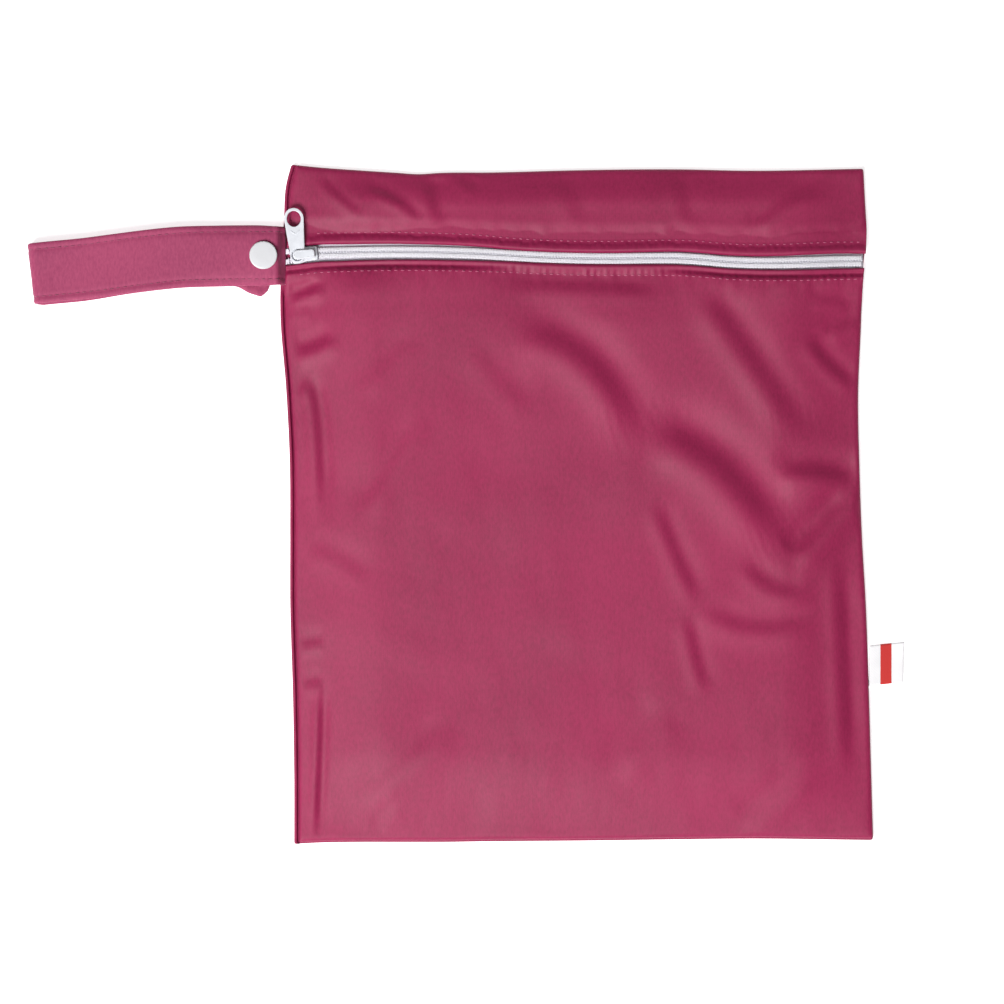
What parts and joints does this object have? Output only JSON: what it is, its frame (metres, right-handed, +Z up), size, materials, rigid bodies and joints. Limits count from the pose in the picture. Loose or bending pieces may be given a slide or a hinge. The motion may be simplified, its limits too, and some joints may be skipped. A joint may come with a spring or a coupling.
{
  "type": "cloth diaper wet bag",
  "caption": "Flat cloth pouch with a zip along its top, a slider with a swivelling pull, a side label and a strap loop closed by a plastic snap.",
  "frame": {"origin": "on the flat underside, under the middle of the pouch, which lies on its back", "axes": "+X along the zip towards the label side, +Y up the pouch towards the zip, +Z up off the surface"},
  "size_m": [0.39, 0.3024, 0.0116],
  "materials": {
    "pouch_fabric": "raspberry coated knit, satin",
    "strap_fabric": "raspberry coated knit, satin",
    "zip_tape": "white woven tape",
    "zip_coil": "white nylon coil",
    "slider_paint": "white enamel on cast metal",
    "snap_plastic": "white moulded resin",
    "label_fabric": "white woven satin ribbon"
  },
  "bodies": {
    "pouch": {"back_panel": "pouch_fabric", "front_panel_lower": "pouch_fabric", "front_panel_upper": "pouch_fabric", "zip_tape_lower": "zip_tape", "zip_tape_upper": "zip_tape", "zip_coil_lower": "zip_coil", "zip_coil_upper": "zip_coil", "slider_body": "slider_paint", "strap_loop": "strap_fabric", "snap_cap_front": "snap_plastic", "snap_stud": "snap_plastic", "snap_socket": "snap_plastic", "snap_cap_back": "snap_plastic", "side_label": "label_fabric"},
    "pull": {"puller": "slider_paint"}
  },
  "joints": [
    {"name": "puller_swivel", "type": "hinge", "parent": "pouch", "child": "pull", "pos_m": [-0.1252, 0.11166, 0.0073], "axis": [0, 0, 1], "range_deg": [-30, 12]}
  ]
}
